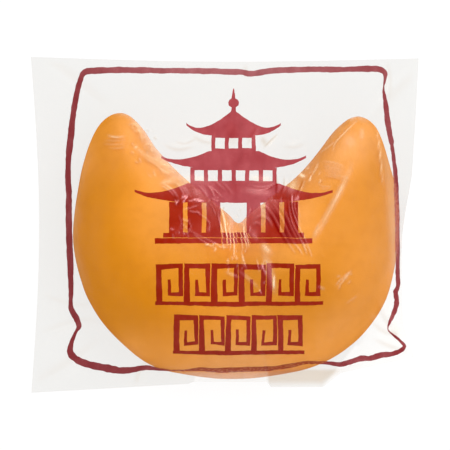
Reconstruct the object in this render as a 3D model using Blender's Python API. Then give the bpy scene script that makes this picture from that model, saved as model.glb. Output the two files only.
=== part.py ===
"""A fortune cookie in its clear film pack, lying on its back on a flat surface.

The pack is one closed solid: a front and a back panel of film, drawn over the cookie and meeting
in thin margins all round. X runs across the pack, Y from its bottom seal to its top seal and Z up,
away from the surface it lies on. Lengths are in millimetres until the mesh is made, in metres.
"""

import bmesh
import bpy
import numpy as np
from math import acos, pi, sin
from mathutils import Vector
from mathutils.bvhtree import BVHTree

MM = 0.001

# The cookie's right half, from the bottom of its notch. It is a round wafer folded over: the fold
# climbs from the notch to the tip of the horn, and the rim comes back round below.
FOLD_EDGE = [(0.0, -0.9), (1.4, -0.3), (2.6, 0.8), (6.8, 4.0), (12.1, 8.7), (16.6, 13.7), (20.2, 18.4)]
HORN_TIP = (23.9, 20.7)
RIM_EDGE = [(27.8, 18.6), (30.1, 12.1), (31.4, 2.9), (31.1, -6.8), (28.9, -16.1), (23.6, -23.7),
            (13.2, -28.7), (0.0, -30.3)]
NOTCH = (2.6, 0.6)              # where the notch lies in the pack
COOKIE_TILT = -0.018            # radians, the right horn a little lower than the left
WAFER = 1.8                     # thickness of the wafer
BULGE = 17.6                    # handle height of each layer's curve, off the middle plane
BULGE_TAPER = (2.8, 0.6)        # powers that bring the bulge down to nothing at the horn tips
LOBE_SPREAD = 0.4               # share of the fold over which the pinch opens into a lobe
PINCH_RISE = 0.45               # how steeply a layer leaves the fold at the pinch, against a lobe
PINCH_INSET = 0.10              # how far the pinch leans in
RIM_HANDLE = (0.60, 1.22)       # second handle: share of the way to the rim, and of the bulge
SEAM_GAP = 1.05                 # from the middle plane to a layer along the bottom rim
MOUTH_GAP = 2.9                 # the same beside the horns, where the layers gape
MOUTH_RUN = (0.45, 0.85)        # where along the fold the mouth opens
CURVE_STEPS = 24                # steps between two points of the outline
WAFER_CELLS = 64                # cells across the wafer disc

# The pack, from the middle of its own box.
TOP_LEFT = (-38.8, 33.6)
TOP_RIGHT = (38.8, 33.4)
BOTTOM_LEFT = (-38.8, -33.6)
BOTTOM_RIGHT = (37.8, -26.4)    # the corner here is folded under
BOTTOM_RUN = [(-7.0, -31.9), (4.0, -31.5), (9.0, -32.2), (21.0, -32.2), (25.0, -29.8)]
TOP_DIP = 0.8                   # how far the top seal bows in at its middle
LEFT_WAIST = 1.6                # how far the cookie draws the two sides in
RIGHT_WAIST = 2.6
CORNER_LIFT = (1.8, -1.2, -1.4, 0.8)    # top left, top right, bottom left, bottom right
SEAL_RIPPLE = 0.6               # height of the slow wave along the margins
RIPPLE_PHASE = 0.7
FILM_GAP = 0.35                 # the film's clearance over the cookie
MARGIN = 1.2                    # thickness of the solid in the flat margins
FLAT_CUT = 1.15                 # how much of the back's bulge is flattened where it rests
PANEL_CELLS = (46, 38)          # cells across and along each panel
DRAPE_ROUNDS = 1500
FILM_COLOUR = (0.86, 0.84, 0.80, 1.0)
FILM_ROUGHNESS = 0.12


def closed_curve(points):
    """A smooth closed curve through the points, as a dense array of positions."""
    here = np.array(points, float)
    before, after, beyond = np.roll(here, 1, 0), np.roll(here, -1, 0), np.roll(here, -2, 0)
    t = np.linspace(0.0, 1.0, CURVE_STEPS, endpoint=False)[:, None, None]
    curve = here + 0.5 * (t * (after - before)
                          + t ** 2 * (2 * before - 5 * here + 4 * after - beyond)
                          + t ** 3 * (3 * here - before - 3 * after + beyond))
    return curve.transpose(1, 0, 2).reshape(-1, 2)


def measured(line):
    """A line of points together with the share of its length at which each one lies."""
    points = np.array(line, float)
    length = np.concatenate([[0.0], np.cumsum(np.linalg.norm(np.diff(points, axis=0), axis=1))])
    return length / length[-1], points


def at_share(line, share):
    """The point at a share of a measured line's length."""
    shares, points = line
    return np.array([np.interp(share, shares, points[:, k]) for k in (0, 1)])


def blend(low, high, x):
    """0 below low, 1 above high and smooth between them."""
    share = min(1.0, max(0.0, (x - low) / (high - low)))
    return share * share * (3 - 2 * share)


def cookie_outline():
    """The right half's two edges: the fold from notch to tip, and the rim from bottom to tip."""
    right = FOLD_EDGE + [HORN_TIP] + RIM_EDGE
    left = [(-x, y) for x, y in reversed(right[1:-1])]
    curve = closed_curve(right + left)
    tip = CURVE_STEPS * len(FOLD_EDGE)
    bottom = CURVE_STEPS * (len(right) - 1)
    return measured(curve[:tip + 1]), measured(curve[tip:bottom + 1])


def wafer_point(along, across, fold, rim):
    """Where a point of the flat wafer disc lies once folded: along the fold line, and across it.

    Each slice across the fold is one Bezier curve, from the fold's crest out to the rim.
    """
    reach = min(1.0, abs(along))
    share = min(1.0, abs(across) / max(1e-6, (1 - reach ** 2) ** 0.5))
    crest = at_share(fold, reach)
    edge = at_share(rim, acos(reach) / (pi / 2))
    lobe = blend(0.0, LOBE_SPREAD, reach)
    bulge = BULGE * (1 - reach ** BULGE_TAPER[0]) ** BULGE_TAPER[1]
    gape = SEAM_GAP + (MOUTH_GAP - SEAM_GAP) * blend(*MOUTH_RUN, reach)
    gape *= (1 - reach ** 12) ** 0.5                    # the layers meet at the very tip
    rise = bulge * (PINCH_RISE + (1 - PINCH_RISE) * lobe)
    first = 3 * share * (1 - share) ** 2
    second = 3 * share ** 2 * (1 - share)
    inward = first * PINCH_INSET * (1 - lobe) + second * RIM_HANDLE[0] + share ** 3
    height = first * rise + second * bulge * RIM_HANDLE[1] + share ** 3 * gape
    x, y = crest + (edge - crest) * inward
    return Vector((x if along >= 0 else -x, y, height if across >= 0 else -height))


def cookie_tree():
    """The cookie's outer skin, as a search tree in the pack's coordinates."""
    fold, rim = cookie_outline()
    bm = bmesh.new()
    bmesh.ops.create_grid(bm, x_segments=WAFER_CELLS, y_segments=WAFER_CELLS, size=1.0)
    for v in bm.verts:
        u, w = v.co.x, v.co.y                           # a square of cells made round
        v.co = wafer_point(u * (1 - w * w / 2) ** 0.5, w * (1 - u * u / 2) ** 0.5, fold, rim)
        x, y, z = v.co
        skin = WAFER / 2 * max(-1.0, min(1.0, z))
        v.co = (x - COOKIE_TILT * y + NOTCH[0], y + COOKIE_TILT * x + NOTCH[1], z + skin)
    tree = BVHTree.FromBMesh(bm)
    bm.free()
    return tree


def panel_plan():
    """A panel's grid seen from above, between four edges: rows from bottom seal to top seal."""
    cells_x, cells_y = PANEL_CELLS
    bottom_run = measured([BOTTOM_LEFT] + BOTTOM_RUN + [BOTTOM_RIGHT])
    low_left, low_right, high_left, high_right = (
        np.array(p) for p in (BOTTOM_LEFT, BOTTOM_RIGHT, TOP_LEFT, TOP_RIGHT))
    plan = np.zeros((cells_y + 1, cells_x + 1, 2))
    for j, i in np.ndindex(plan.shape[:2]):
        u, v = i / cells_x, j / cells_y
        left = low_left * (1 - v) + high_left * v + (LEFT_WAIST * sin(pi * v), 0)
        right = low_right * (1 - v) + high_right * v - (RIGHT_WAIST * sin(pi * v), 0)
        bottom = at_share(bottom_run, u)
        top = high_left * (1 - u) + high_right * u - (0, TOP_DIP * sin(pi * u))
        low, high = low_left * (1 - u) + low_right * u, high_left * (1 - u) + high_right * u
        plan[j, i] = left * (1 - u) + right * u + bottom * (1 - v) + top * v
        plan[j, i] -= low * (1 - v) + high * v
    return plan


def margin_lift():
    """How far the film's margins wave above or below the cookie's middle plane."""
    cells_x, cells_y = PANEL_CELLS
    u, v = np.meshgrid(np.linspace(0, 1, cells_x + 1), np.linspace(0, 1, cells_y + 1))
    high_left, high_right, low_left, low_right = CORNER_LIFT
    lift = (low_left * (1 - u) + low_right * u) * (1 - v)
    lift += (high_left * (1 - u) + high_right * u) * v
    return lift + SEAL_RIPPLE * np.sin(3 * pi * u + RIPPLE_PHASE) * np.cos(2 * pi * v)


def cookie_heights(plan, tree, side):
    """How far the film has to stand off the middle plane to clear the cookie, on one side."""
    heights = np.full(plan.shape[:2], -np.inf)
    for j, i in np.ndindex(heights.shape):
        start = Vector((*plan[j, i], side * 2 * BULGE))
        hit = tree.ray_cast(start, Vector((0, 0, -side)))[0]
        if hit is not None:
            heights[j, i] = hit.z * side + FILM_GAP
    return heights


def draped(obstacle, border):
    """Film drawn tight over the obstacle from its border, as heights on the same grid."""
    height = np.maximum(obstacle, border)
    height[[0, -1], :] = border[[0, -1], :]
    height[:, [0, -1]] = border[:, [0, -1]]
    for _ in range(DRAPE_ROUNDS):
        mean = (height[:-2, 1:-1] + height[2:, 1:-1] + height[1:-1, :-2] + height[1:-1, 2:]) / 4
        height[1:-1, 1:-1] = np.maximum(mean, obstacle[1:-1, 1:-1])
    return height


def add_panel(bm, plan, heights):
    """One film panel, a grid of faces. Returns the edges round it."""
    cells_x, cells_y = PANEL_CELLS
    made = bmesh.ops.create_grid(bm, x_segments=cells_x, y_segments=cells_y, size=1.0)
    for v in made["verts"]:
        i, j = round((v.co.x + 1) / 2 * cells_x), round((v.co.y + 1) / 2 * cells_y)
        v.co = (*plan[j, i], heights[j, i])
    return list({e for v in made["verts"] for e in v.link_edges if e.is_boundary})


def film_material():
    mat = bpy.data.materials.new("clear_film")
    mat.use_nodes = True
    shader = mat.node_tree.nodes["Principled BSDF"]
    shader.inputs["Base Color"].default_value = FILM_COLOUR
    shader.inputs["Roughness"].default_value = FILM_ROUGHNESS
    shader.inputs["Metallic"].default_value = 0.0
    return mat


def wrapped_cookie():
    """The whole pack as one closed body, resting on the flat spot under the cookie."""
    tree, plan, lift = cookie_tree(), panel_plan(), margin_lift()
    front = draped(cookie_heights(plan, tree, 1), MARGIN / 2 + lift)
    back = draped(cookie_heights(plan, tree, -1), MARGIN / 2 - lift)
    middle = back.max() - FLAT_CUT                      # height of the cookie's middle plane
    bm = bmesh.new()
    rims = add_panel(bm, plan, middle + front)
    rims += add_panel(bm, plan, np.maximum(middle - back, 0.0))
    bmesh.ops.bridge_loops(bm, edges=rims)
    bmesh.ops.triangulate(bm, faces=bm.faces[:])
    bmesh.ops.recalc_face_normals(bm, faces=bm.faces[:])
    bmesh.ops.scale(bm, vec=Vector((MM, MM, MM)), verts=bm.verts[:])
    mesh = bpy.data.meshes.new("wrapped_cookie")
    bm.to_mesh(mesh)
    bm.free()
    mesh.shade_smooth()
    mesh.materials.append(film_material())
    bpy.context.scene.collection.objects.link(bpy.data.objects.new("wrapped_cookie", mesh))


for old in list(bpy.data.objects):
    bpy.data.objects.remove(old)
wrapped_cookie()
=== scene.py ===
import random
from math import acos, cos, hypot, pi, radians, sin

import bmesh
import bpy
import numpy as np
from mathutils import Matrix, Vector, noise
from mathutils.bvhtree import BVHTree


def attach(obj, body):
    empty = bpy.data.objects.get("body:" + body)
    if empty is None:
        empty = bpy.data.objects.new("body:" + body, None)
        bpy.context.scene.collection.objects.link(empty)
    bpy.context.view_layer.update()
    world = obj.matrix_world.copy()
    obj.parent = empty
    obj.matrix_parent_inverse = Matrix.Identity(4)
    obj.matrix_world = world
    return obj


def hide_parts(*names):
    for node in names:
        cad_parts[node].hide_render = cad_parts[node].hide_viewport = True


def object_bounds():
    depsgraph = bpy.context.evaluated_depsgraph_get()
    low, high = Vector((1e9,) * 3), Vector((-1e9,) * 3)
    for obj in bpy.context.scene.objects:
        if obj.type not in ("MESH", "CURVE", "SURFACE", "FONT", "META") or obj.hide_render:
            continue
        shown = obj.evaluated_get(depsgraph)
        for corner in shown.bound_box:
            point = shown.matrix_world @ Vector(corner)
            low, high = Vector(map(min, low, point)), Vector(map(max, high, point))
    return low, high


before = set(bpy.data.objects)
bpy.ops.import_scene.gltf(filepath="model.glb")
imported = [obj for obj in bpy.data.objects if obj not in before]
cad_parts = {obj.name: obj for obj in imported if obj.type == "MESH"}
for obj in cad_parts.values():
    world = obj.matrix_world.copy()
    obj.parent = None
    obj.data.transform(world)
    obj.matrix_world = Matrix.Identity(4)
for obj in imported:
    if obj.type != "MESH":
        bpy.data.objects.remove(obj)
cadLow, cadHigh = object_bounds()
mm = 0.001          # shapes are worked out in millimetres, from the middle of the pack's box
noise.seed_set(1)   # without it the slow unevenness would differ from run to run

def closedCurve(points, steps):
    # smooth closed curve through the points
    here = np.array(points, float)
    before, after, beyond = np.roll(here, 1, 0), np.roll(here, -1, 0), np.roll(here, -2, 0)
    t = np.linspace(0, 1, steps, endpoint=False)[:, None, None]
    curve = here + 0.5 * (t * (after - before)
                          + t ** 2 * (2 * before - 5 * here + 4 * after - beyond)
                          + t ** 3 * (3 * here - before - 3 * after + beyond))
    return curve.transpose(1, 0, 2).reshape(-1, here.shape[1])


def measured(line):
    # a line with the share of its length at each of its points
    points = np.array(line, float)
    length = np.concatenate([[0], np.cumsum(np.linalg.norm(np.diff(points, axis=0), axis=1))])
    return length / length[-1], points


def atShare(line, share):
    shares, points = line
    return np.array([np.interp(share, shares, points[:, k]) for k in range(points.shape[1])])


def smoothStep(low, high, x):
    share = np.clip((x - low) / (high - low), 0.0, 1.0)
    return share * share * (3 - 2 * share)


def treeOf(obj):
    # a search tree of an object as its modifiers leave it
    solid = obj.evaluated_get(bpy.context.evaluated_depsgraph_get()).to_mesh()
    skin = bmesh.new()
    skin.from_mesh(solid)
    tree = BVHTree.FromBMesh(skin)
    skin.free()
    return tree


def finished(bm, name, material):
    # the mesh in metres, as an object at the origin
    bmesh.ops.scale(bm, vec=Vector((mm, mm, mm)), verts=bm.verts[:])
    mesh = bpy.data.meshes.new(name)
    bm.to_mesh(mesh)
    bm.free()
    mesh.shade_smooth()
    mesh.materials.append(material)
    obj = bpy.data.objects.new(name, mesh)
    bpy.context.scene.collection.objects.link(obj)
    return obj


def shaderOf(name):
    mat = bpy.data.materials.new(name)
    mat.use_nodes = True
    return mat, mat.node_tree.nodes, mat.node_tree.links, mat.node_tree.nodes["Principled BSDF"]


def noiseNode(nodes, links, coords, scale, detail=3.0, roughness=0.5):
    tex = nodes.new("ShaderNodeTexNoise")
    tex.inputs["Scale"].default_value = scale
    tex.inputs["Detail"].default_value = detail
    tex.inputs["Roughness"].default_value = roughness
    links.new(coords, tex.inputs["Vector"])
    return tex.outputs["Fac"]


def rangeNode(nodes, links, value, fromLow, fromHigh, toLow, toHigh):
    remap = nodes.new("ShaderNodeMapRange")
    links.new(value, remap.inputs["Value"])
    for label, number in zip(("From Min", "From Max", "To Min", "To Max"),
                             (fromLow, fromHigh, toLow, toHigh)):
        remap.inputs[label].default_value = number
    return remap.outputs["Result"]


def mathNode(nodes, links, operation, first, second):
    node = nodes.new("ShaderNodeMath")
    node.operation = operation
    for socket, value in zip(node.inputs, (first, second)):
        if isinstance(value, bpy.types.NodeSocket):
            links.new(value, socket)
        else:
            socket.default_value = value
    return node.outputs["Value"]


def markOf(nodes, name):
    mark = nodes.new("ShaderNodeAttribute")
    mark.attribute_name = name
    return mark.outputs["Fac"]


def mixNode(nodes, links, factor, first, second, blend="MIX"):
    mix = nodes.new("ShaderNodeMix")
    mix.data_type = "RGBA"
    mix.blend_type = blend
    sockets = {"Factor_Float": factor, "A_Color": first, "B_Color": second}
    for identifier, value in sockets.items():
        socket = next(s for s in mix.inputs if s.identifier == identifier)
        if isinstance(value, bpy.types.NodeSocket):
            links.new(value, socket)
        else:
            socket.default_value = value
    return next(s for s in mix.outputs if s.identifier == "Result_Color")


cookieSizes = dict(
    foldEdge=[(0.0, -1.0), (1.4, -0.4), (2.6, 0.85), (6.8, 4.05), (12.1, 8.7), (16.6, 13.7),
              (20.2, 18.4)],
    hornTip=(23.9, 20.7),
    rimEdge=[(27.8, 18.6), (30.1, 12.1), (31.4, 2.9), (31.1, -6.8), (28.9, -16.1),
             (23.6, -23.7), (13.2, -28.7), (0.0, -30.3)],
    notch=(2.6, 0.6),           # bottom of the notch in the pack
    tilt=-0.018,
    wafer=1.8,
    bulge=17.6,
    bulgeTaper=(2.8, 0.6),
    lobeSpread=0.4,
    pinchRise=0.45,
    pinchInset=0.10,
    rimHandle=(0.60, 1.22),
    seamGap=1.05,
    mouthGap=2.3,
    mouthRun=(0.45, 0.85),
    twist=0.3,                  # the two mouths do not stand quite level
    steps=24,
    cells=112,
    unevenness=(0.28, 11.0),    # depth and size of the slow unevenness
    fineUnevenness=(0.12, 3.1),  # the finer one: its share of that depth, and its size
    twistSpan=14.0,
    mouthEnds=12,               # how suddenly the mouth closes at the horns
    toastFrom=0.55,             # where browning sets in on the way from the fold to the rim
    rimBevel=0.5,
    # folded by hand, so not quite even: place, reach and how far it is pushed
    pushes=[(31.4, 17.5, 6.5, -0.85, 0.0), (33.3, 11.5, 5.5, -0.5, 0.0),
            (34.0, -4.0, 5.0, -0.15, 0.0), (27.5, -21.5, 8.5, -0.48, 0.48), (34.0, -12.0, 6.0, -0.2, 0.0),
            (-31.0, -3.5, 8.5, -0.85, 0.0), (-23.0, -21.5, 7.0, 0.55, 0.47),
            (-14.0, -28.5, 6.5, 0.05, -0.82), (-2.0, -30.5, 7.0, 0.0, -0.45),
            (-13.8, 15.4, 7.5, -0.40, -0.26), (-26.0, 19.5, 5.0, 0.3, -0.1)],
)

cookieLook = dict(
    golden=(0.655, 0.224, 0.0, 1),
    warm=(0.80, 0.305, 0.042, 1),
    # pale: the colour of paler baked tone and of painted highlight
    pale=(0.93, 0.43, 0.155, 1),
    toasted=(0.45, 0.12, 0.003, 1),
    roughness=0.5,
    specular=0.03,
    broadGrain=70.0, mottleGrain=420.0, poreGrain=2600.0,
    poreStrength=0.35, poreDepth=0.00012,
    # patches of the wafer: x, y, reach across, reach up and how pale, then how much darker; the paleness is
    # paler baked tone and painted highlight together
    paleAndLitSpots=[(-16.6, 18.6, 5.0, 6.5, 0.62), (-11.0, 9.0, 5.5, 5.5, 0.38), (-11.5, -1.0, 7.0, 8.0, 0.24),
               (3.6, -2.4, 7.5, 4.6, 0.58), (18.0, 10.0, 6.0, 5.5, 0.40), (15.0, 1.0, 4.5, 4.5, 0.40),
               (27.2, 17.6, 5.0, 5.0, 0.50), (27.0, -3.0, 9.0, 14.0, 0.27),
               (4.0, -27.5, 17.0, 7.5, 0.58), (22.0, -20.0, 7.0, 6.0, 0.20), (4.0, -14.0, 10.0, 6.0, 0.20),
               (12.0, -6.4, 6.5, 3.0, 0.24), (-13.2, 13.0, 2.6, 3.6, 0.30), (-15.5, 2.0, 5.0, 9.0, 0.10),
               (23.8, 14.2, 3.2, 3.6, 0.34), (-28.0, 15.0, 3.0, 6.0, 0.30), (-18.5, -25.5, 3.5, 3.5, 0.30)],
    darkerSpots=[(6.0, -13.0, 15.0, 9.0, 0.20), (25.0, 2.0, 10.0, 13.0, 0.16), (-12.0, 1.0, 4.5, 6.0, 0.14),
               (-7.0, -4.0, 4.5, 4.0, 0.09), (-16.5, 14.0, 4.0, 6.5, 0.09), (28.5, 14.0, 4.5, 5.0, 0.08),
               (2.0, -26.0, 10.0, 5.5, 0.07), (22.0, -17.0, 9.0, 8.0, 0.06)],
)


def patchMark(patches, x, y):
    return sum(much * np.exp(-((x - a) / wide) ** 2 - ((y - b) / tall) ** 2)
               for a, b, wide, tall, much in patches)


def cookieOutline():
    s = cookieSizes
    right = s["foldEdge"] + [s["hornTip"]] + s["rimEdge"]
    left = [(-x, y) for x, y in reversed(right[1:-1])]
    curve = closedCurve(right + left, s["steps"])
    tip = s["steps"] * len(s["foldEdge"])
    bottom = s["steps"] * (len(right) - 1)
    return measured(curve[:tip + 1]), measured(curve[tip:bottom + 1])


def waferPoint(along, across, fold, rim):
    # a point of the flat round wafer once it is folded; each slice across the fold is one Bezier
    s = cookieSizes
    reach = min(1.0, abs(along))
    share = min(1.0, abs(across) / max(1e-6, (1 - reach ** 2) ** 0.5))
    crest = atShare(fold, reach)
    edge = atShare(rim, acos(reach) / (pi / 2))
    lobe = smoothStep(0.0, s["lobeSpread"], reach)
    bulge = s["bulge"] * (1 - reach ** s["bulgeTaper"][0]) ** s["bulgeTaper"][1]
    gape = s["seamGap"] + (s["mouthGap"] - s["seamGap"]) * smoothStep(*s["mouthRun"], reach)
    gape *= (1 - reach ** s["mouthEnds"]) ** 0.5
    rise = bulge * (s["pinchRise"] + (1 - s["pinchRise"]) * lobe)
    first = 3 * share * (1 - share) ** 2
    second = 3 * share ** 2 * (1 - share)
    inward = first * s["pinchInset"] * (1 - lobe) + second * s["rimHandle"][0] + share ** 3
    height = first * rise + second * bulge * s["rimHandle"][1] + share ** 3 * gape
    x, y = crest + (edge - crest) * inward
    height, x = (height if across >= 0 else -height), (x if along >= 0 else -x)
    return Vector((x, y, height - s["twist"] * share ** 3 * np.tanh(x / s["twistSpan"]))), share


def makeCookie(material):
    s = cookieSizes
    fold, rim = cookieOutline()
    bm = bmesh.new()
    bmesh.ops.create_grid(bm, x_segments=s["cells"], y_segments=s["cells"], size=1.0)
    toast = bm.verts.layers.float.new("toast")
    pale = bm.verts.layers.float.new("pale")
    darker = bm.verts.layers.float.new("darker")
    depth, size = s["unevenness"]
    fineShare, fineSize = s["fineUnevenness"]
    for v in bm.verts:
        u, w = v.co.x, v.co.y                       # a square grid made into a round one
        along, across = u * (1 - w * w / 2) ** 0.5, w * (1 - u * u / 2) ** 0.5
        v.co, share = waferPoint(along, across, fold, rim)
        browned = max(0.0, (share - s["toastFrom"]) / (1 - s["toastFrom"]))
        v[toast] = browned * (1 if abs(along) < 0.98 else 0.7)
        v.co += noise.noise_vector(v.co / size) * depth
        v.co += noise.noise_vector(v.co / fineSize) * depth * fineShare
    bmesh.ops.reverse_faces(bm, faces=bm.faces[:])
    x, y = s["notch"]
    bmesh.ops.rotate(bm, verts=bm.verts[:], cent=(0, 0, 0),
                     matrix=Matrix.Rotation(s["tilt"], 3, "Z"))
    top = max(v.co.z for v in bm.verts) + s["wafer"] / 2
    lift = cadHigh.z / mm - filmSizes["roof"] - top
    bmesh.ops.translate(bm, verts=bm.verts[:], vec=(x, y, lift))
    floor = s["wafer"] / 2 + filmSizes["clearance"]
    for v in bm.verts:                              # the lobes rest a touch flat
        v.co.z = max(v.co.z, floor)
        start = v.co.copy()
        for x, y, wide, sideways, upward in s["pushes"]:
            near = np.exp(-((start.x - x) / wide) ** 2 - ((start.y - y) / wide) ** 2)
            v.co += Vector((sideways, upward, 0)) * near
        # paler baked tone with painted highlight, from the pale patches
        v[pale] = patchMark(cookieLook["paleAndLitSpots"], v.co.x, v.co.y)
        # darker in patches
        v[darker] = patchMark(cookieLook["darkerSpots"], v.co.x, v.co.y)
    cookie = finished(bm, "cookie", material)
    wall = cookie.modifiers.new("wall", "SOLIDIFY")
    wall.thickness = s["wafer"] * mm
    wall.offset = 0
    soft = cookie.modifiers.new("rim", "BEVEL")
    soft.width = s["rimBevel"] * mm
    soft.segments = 3
    soft.limit_method = "ANGLE"
    soft.angle_limit = radians(50)
    return cookie, lift


def cookieMaterial():
    look = cookieLook
    mat, nodes, links, shader = shaderOf("bakedWafer")
    place = nodes.new("ShaderNodeTexCoord").outputs["Object"]
    broad = noiseNode(nodes, links, place, look["broadGrain"], 2.0)
    mottle = noiseNode(nodes, links, place, look["mottleGrain"], 4.0, 0.6)
    pores = noiseNode(nodes, links, place, look["poreGrain"], 3.0, 0.6)
    # paler baked tone and painted highlight, with slow random tone
    toneAndLight = mathNode(nodes, links, "ADD", markOf(nodes, "pale"),
                    rangeNode(nodes, links, broad, 0.3, 0.7, -0.06, 0.04))
    colour = mixNode(nodes, links, rangeNode(nodes, links, toneAndLight, 0.0, 0.3, 0.0, 1.0),
                     look["golden"], look["warm"])
    colour = mixNode(nodes, links, rangeNode(nodes, links, toneAndLight, 0.3, 1.0, 0.0, 1.0),
                     colour, look["pale"])
    colour = mixNode(nodes, links, rangeNode(nodes, links, mottle, 0.45, 0.8, 0.0, 0.22),
                     colour, look["toasted"])
    edge = rangeNode(nodes, links, markOf(nodes, "toast"), 0.92, 1.0, 0.0, 0.25)
    colour = mixNode(nodes, links, edge, colour, look["toasted"])
    # darker in patches, mixed towards black
    colour = mixNode(nodes, links, markOf(nodes, "darker"), colour, (0.0, 0.0, 0.0, 1))
    links.new(colour, shader.inputs["Base Color"])
    links.new(rangeNode(nodes, links, mottle, 0.3, 0.8, look["roughness"] - 0.06,
                        look["roughness"] + 0.14), shader.inputs["Roughness"])
    shader.inputs["Specular IOR Level"].default_value = look["specular"]
    bump = nodes.new("ShaderNodeBump")
    bump.inputs["Strength"].default_value = look["poreStrength"]
    bump.inputs["Distance"].default_value = look["poreDepth"]
    links.new(pores, bump.inputs["Height"])
    links.new(bump.outputs["Normal"], shader.inputs["Normal"])
    return mat


filmSizes = dict(
    topLeft=(-38.8, 33.6), topRight=(38.8, 33.4),
    bottomLeft=(-38.8, -33.6), bottomRight=(37.8, -26.4),
    bottomRun=[(-7.4, -31.8), (-6.2, -31.4), (4.0, -31.4), (8.4, -31.4), (9.2, -32.4), (19.6, -32.4),
               (23.2, -29.6)],
    topDip=0.8,
    leftWaist=1.6,
    rightRun=[(35.6, -20.0), (35.4, -14.0), (35.3, -7.0), (35.5, -1.4), (36.1, 2.8), (37.0, 7.6),
              (37.4, 10.0), (37.8, 16.0), (38.2, 22.0)],
    cornerLift=(1.8, -1.2, -1.4, 0.8),
    ripple=0.6,
    ripplePhase=0.7,
    roof=0.35,                  # from the cookie's top to the pack's top
    clearance=0.18,
    halfGap=0.04,               # half the gap between the layers at the border
    drapeCells=(216, 184),
    frontCells=(360, 260),
    backCells=(150, 130),
    rounds=(1200, 500, 400, 300),
    lastRounds=(4, 2),          # of the front and of the back
    # where the front's grid is finer: from, to and by how much
    fineAcross=[(0.24, 0.86, 0.7), (0.46, 0.73, 1.0)],
    fineUpwards=[(0.36, 0.82, 0.8)],
    frontCrumple=(6.5, 3.3, 0.02, 0.09),    # size, seed, depth on the cookie, more where it hangs
    backCrumple=(6.0, 7.7, 0.07),
)


def gridShares(cells, bumps):
    # places of the grid lines, closer together inside the bumps
    place = np.linspace(0, 1, 4001)
    weight = np.ones_like(place)
    for low, high, boost in bumps:
        weight += boost * smoothStep(low - 0.04, low + 0.04, place) * (
            1 - smoothStep(high - 0.04, high + 0.04, place))
    total = np.concatenate([[0], np.cumsum((weight[1:] + weight[:-1]) / 2)])
    return np.interp(np.linspace(0, 1, cells + 1), total / total[-1], place)


def panelPlan(across, upwards):
    # a panel's grid from above, between its four edges
    s = filmSizes
    u, v = across[None, :, None], upwards[:, None, None]
    lowLeft, lowRight, highLeft, highRight = (
        np.array(s[k]) for k in ("bottomLeft", "bottomRight", "topLeft", "topRight"))
    sideways, upward = np.array([1.0, 0.0]), np.array([0.0, 1.0])
    left = lowLeft * (1 - v) + highLeft * v + s["leftWaist"] * np.sin(pi * v) * sideways
    edge = measured([s["bottomRight"]] + s["rightRun"] + [s["topRight"]])
    right = atShare(edge, upwards).T[:, None, :]
    run = measured([s["bottomLeft"]] + s["bottomRun"] + [s["bottomRight"]])
    bottom = atShare(run, across).T[None, :, :]
    top = highLeft * (1 - u) + highRight * u - s["topDip"] * np.sin(pi * u) * upward
    corners = (lowLeft * (1 - u) + lowRight * u) * (1 - v)
    corners = corners + (highLeft * (1 - u) + highRight * u) * v
    return left * (1 - u) + right * u + bottom * (1 - v) + top * v - corners


def marginLift(across, upwards):
    s = filmSizes
    u, v = np.meshgrid(across, upwards)
    highLeft, highRight, lowLeft, lowRight = s["cornerLift"]
    lift = (lowLeft * (1 - u) + lowRight * u) * (1 - v) + (highLeft * (1 - u) + highRight * u) * v
    return lift + s["ripple"] * np.sin(3 * pi * u + s["ripplePhase"]) * np.cos(2 * pi * v)


def reachOf(tree, plan, middle, side):
    # how far the film has to stand off the middle plane to clear the cookie
    reach = np.full(plan.shape[:2], -np.inf)
    steep = np.zeros(reach.shape)
    for j, i in np.ndindex(reach.shape):
        start = Vector((plan[j, i, 0] * mm, plan[j, i, 1] * mm, (middle + side * 40) * mm))
        hit, normal = tree.ray_cast(start, Vector((0, 0, -side)))[:2]
        if hit is not None:
            clear = filmSizes["clearance"] / max(0.3, abs(normal.z))
            reach[j, i] = (hit.z / mm - middle) * side + clear
            steep[j, i] = 1 - abs(normal.z)
    return reach, steep


def resampled(field, across, upwards):
    # an evenly spaced field read at other places
    rows, columns = np.linspace(0, 1, field.shape[0]), np.linspace(0, 1, field.shape[1])
    wide = np.array([np.interp(across, columns, row) for row in field])
    return np.array([np.interp(upwards, rows, column) for column in wide.T]).T


def relaxed(height, low, rounds):
    for _ in range(rounds):
        mean = (height[:-2, 1:-1] + height[2:, 1:-1] + height[1:-1, :-2] + height[1:-1, 2:]) / 4
        height[1:-1, 1:-1] = np.maximum(mean, low[1:-1, 1:-1])
    return height


def pinned(height, border):
    # the outermost rows and columns held at the border's height
    height[[0, -1], :], height[:, [0, -1]] = border[[0, -1], :], border[:, [0, -1]]
    return height


def draped(reach, border):
    # film drawn tight over the cookie, settled on coarse grids first
    height = None
    for step, rounds in zip((8, 4, 2, 1), filmSizes["rounds"]):
        low, edge = reach[::step, ::step], border[::step, ::step]
        rows, columns = low.shape
        if height is None:
            height = edge.copy()
        else:
            height = resampled(height, np.linspace(0, 1, columns), np.linspace(0, 1, rows))
        height = relaxed(pinned(np.maximum(height, low), edge), low, rounds)
    return height


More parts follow.
